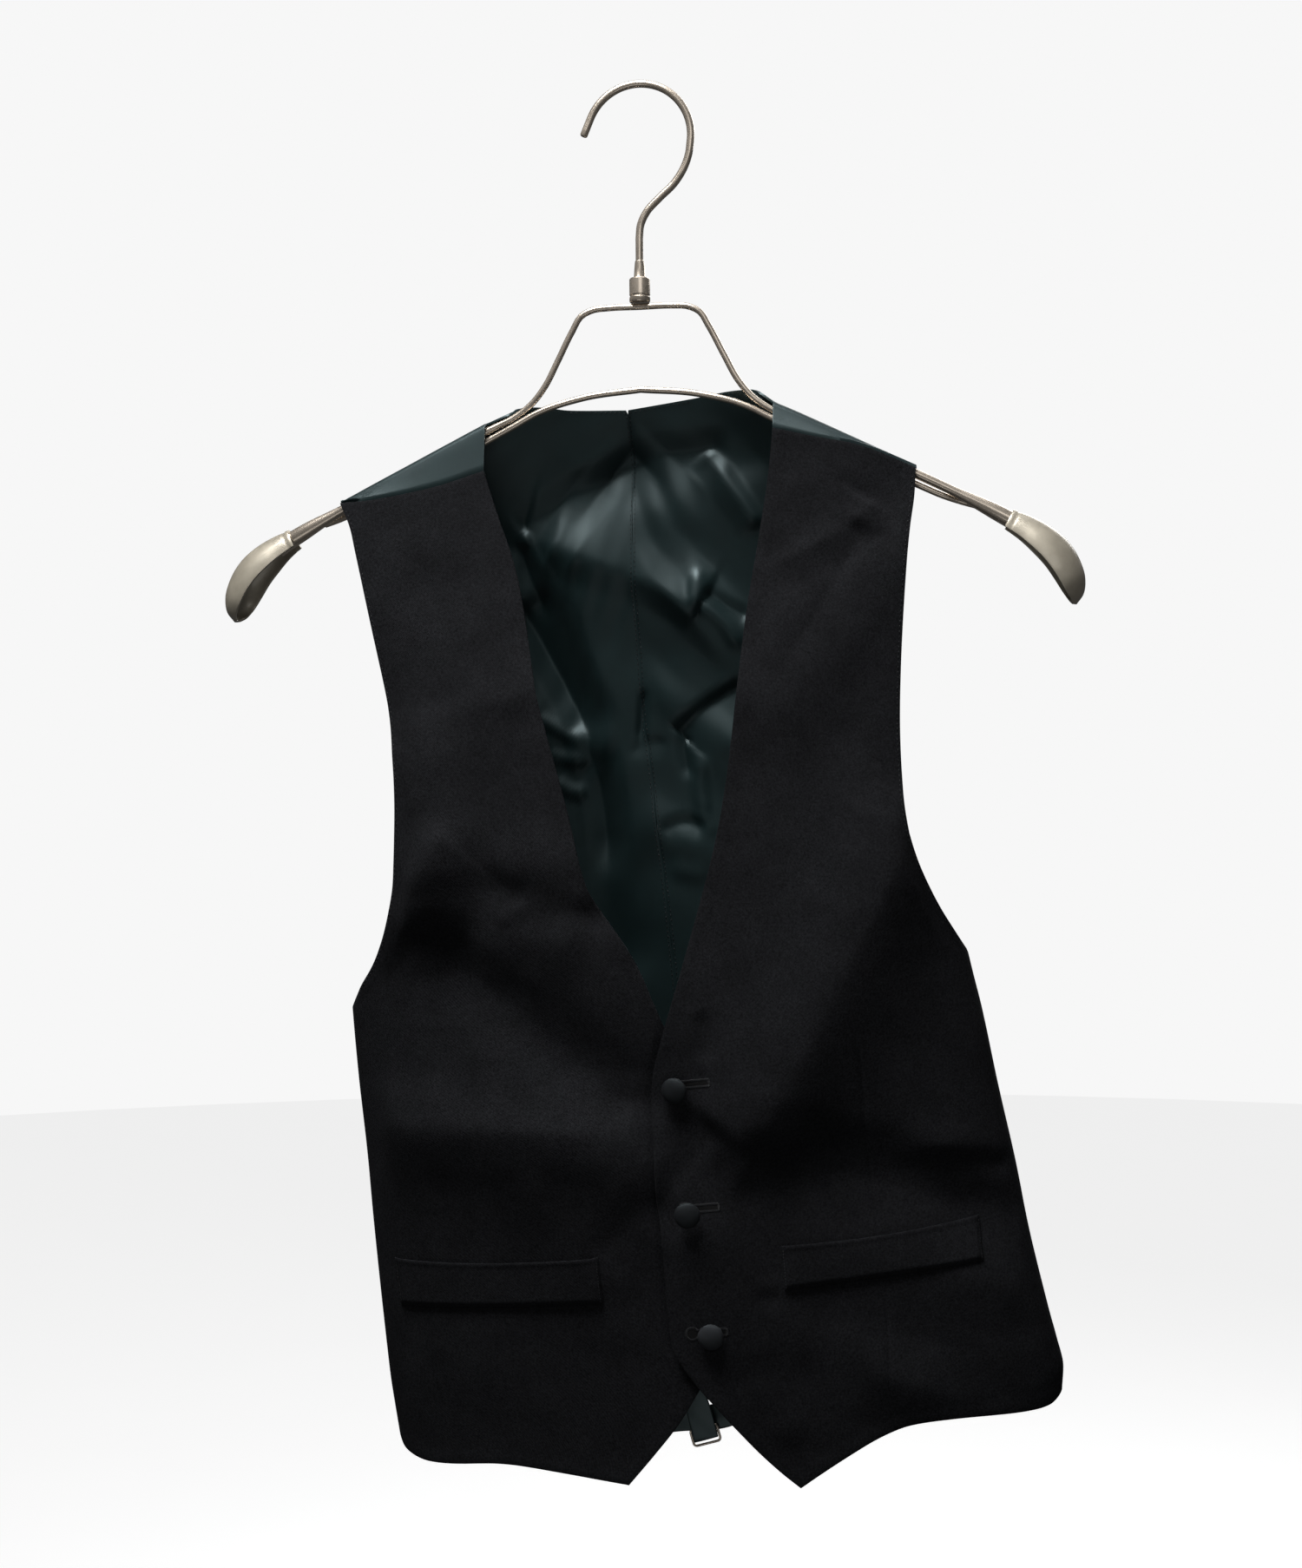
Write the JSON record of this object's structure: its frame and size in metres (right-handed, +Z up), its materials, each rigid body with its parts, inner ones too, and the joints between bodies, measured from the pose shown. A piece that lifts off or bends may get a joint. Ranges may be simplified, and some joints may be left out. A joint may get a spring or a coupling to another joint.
{
  "type": "tuxedo waistcoat on a hanger",
  "caption": "Tuxedo waistcoat with a deep V neck, covered buttons, welt pockets and a satin back with a waist strap, hanging on a wire hanger with moulded caps.",
  "frame": {"origin": "where a rail touches the hanger's hook: the inside of its top", "axes": "+X towards the garment's left side as worn, +Y from its front to its back, +Z up"},
  "size_m": [0.4554, 0.1026, 0.7239],
  "materials": {
    "wool": "matte black worsted wool with a slight nap",
    "satin": "dark green-grey satin, glossy",
    "button_satin": "black satin drawn over a domed button",
    "nickel": "warm satin nickel on steel wire",
    "cap": "champagne-grey moulded plastic, glossy"
  },
  "bodies": {
    "root": {"back_left": "satin", "back_right": "satin", "front_left": "wool", "front_right": "wool", "button_top": "button_satin", "button_middle": "button_satin", "button_bottom": "button_satin", "cap_left": "cap", "cap_right": "cap", "hanger_arch": "nickel", "hanger_frame": "nickel", "hanger_hook": "nickel", "hanger_nut": "nickel", "strap_buckle": "satin", "strap_slide": "nickel", "strap_tongue": "satin", "welt_left": "wool", "welt_right": "wool"}
  },
  "joints": []
}
